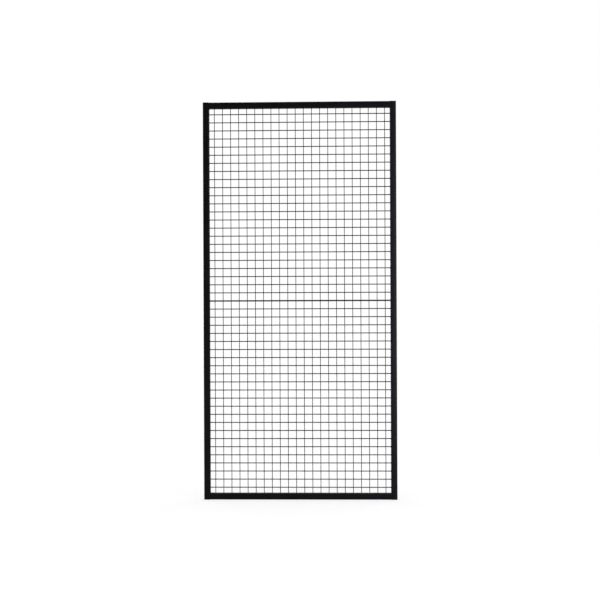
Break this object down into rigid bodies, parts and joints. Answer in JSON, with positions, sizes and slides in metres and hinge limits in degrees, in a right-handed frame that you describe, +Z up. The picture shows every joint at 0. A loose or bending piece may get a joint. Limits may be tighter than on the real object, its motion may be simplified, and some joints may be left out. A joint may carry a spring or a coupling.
{
  "type": "framed gondola mesh panel",
  "caption": "Tall framed wire mesh display panel for a shop gondola, with a thicker bar at half height.",
  "frame": {"origin": "middle of the footprint, level with the underside of the two feet; Y = 0 is the plane where the vertical and horizontal wires touch, at half the frame's depth", "axes": "+X along the width, to the right as seen from the display side; +Z up; -Y out of the display side, where the horizontal wires lie in front of the vertical ones"},
  "size_m": [1.19, 0.038, 2.45],
  "materials": {
    "frame_powder_coat": "semi-gloss black powder coat",
    "wire_powder_coat": "semi-gloss black powder coat",
    "black_plastic": "fine matt moulded plastic"
  },
  "bodies": {
    "root": {"bottom_left_foot": "black_plastic", "bottom_rail": "frame_powder_coat", "bottom_right_foot": "black_plastic", "column_wire_01": "wire_powder_coat", "column_wire_02": "wire_powder_coat", "column_wire_03": "wire_powder_coat", "column_wire_04": "wire_powder_coat", "column_wire_05": "wire_powder_coat", "column_wire_06": "wire_powder_coat", "column_wire_07": "wire_powder_coat", "column_wire_08": "wire_powder_coat", "column_wire_09": "wire_powder_coat", "column_wire_10": "wire_powder_coat", "column_wire_11": "wire_powder_coat", "column_wire_12": "wire_powder_coat", "column_wire_13": "wire_powder_coat", "column_wire_14": "wire_powder_coat", "column_wire_15": "wire_powder_coat", "column_wire_16": "wire_powder_coat", "column_wire_17": "wire_powder_coat", "column_wire_18": "wire_powder_coat", "column_wire_19": "wire_powder_coat", "column_wire_20": "wire_powder_coat", "column_wire_21": "wire_powder_coat", "column_wire_22": "wire_powder_coat", "left_stile": "frame_powder_coat", "lower_row_wires_01_02": "wire_powder_coat", "lower_row_wires_03_04": "wire_powder_coat", "lower_row_wires_05_06": "wire_powder_coat", "lower_row_wires_07_08": "wire_powder_coat", "lower_row_wires_09_10": "wire_powder_coat", "lower_row_wires_11_12": "wire_powder_coat", "lower_row_wires_13_14": "wire_powder_coat", "lower_row_wires_15_16": "wire_powder_coat", "lower_row_wires_17_18": "wire_powder_coat", "lower_row_wires_19_20": "wire_powder_coat", "lower_row_wires_21_22": "wire_powder_coat", "lower_row_wires_23": "wire_powder_coat", "mid_bar": "wire_powder_coat", "right_stile": "frame_powder_coat", "top_left_cap": "black_plastic", "top_rail": "frame_powder_coat", "top_right_cap": "black_plastic", "upper_row_wires_01_02": "wire_powder_coat", "upper_row_wires_03_04": "wire_powder_coat", "upper_row_wires_05_06": "wire_powder_coat", "upper_row_wires_07_08": "wire_powder_coat", "upper_row_wires_09_10": "wire_powder_coat", "upper_row_wires_11_12": "wire_powder_coat", "upper_row_wires_13_14": "wire_powder_coat", "upper_row_wires_15_16": "wire_powder_coat", "upper_row_wires_17_18": "wire_powder_coat", "upper_row_wires_19_20": "wire_powder_coat", "upper_row_wires_21_22": "wire_powder_coat", "upper_row_wires_23": "wire_powder_coat"}
  },
  "joints": []
}
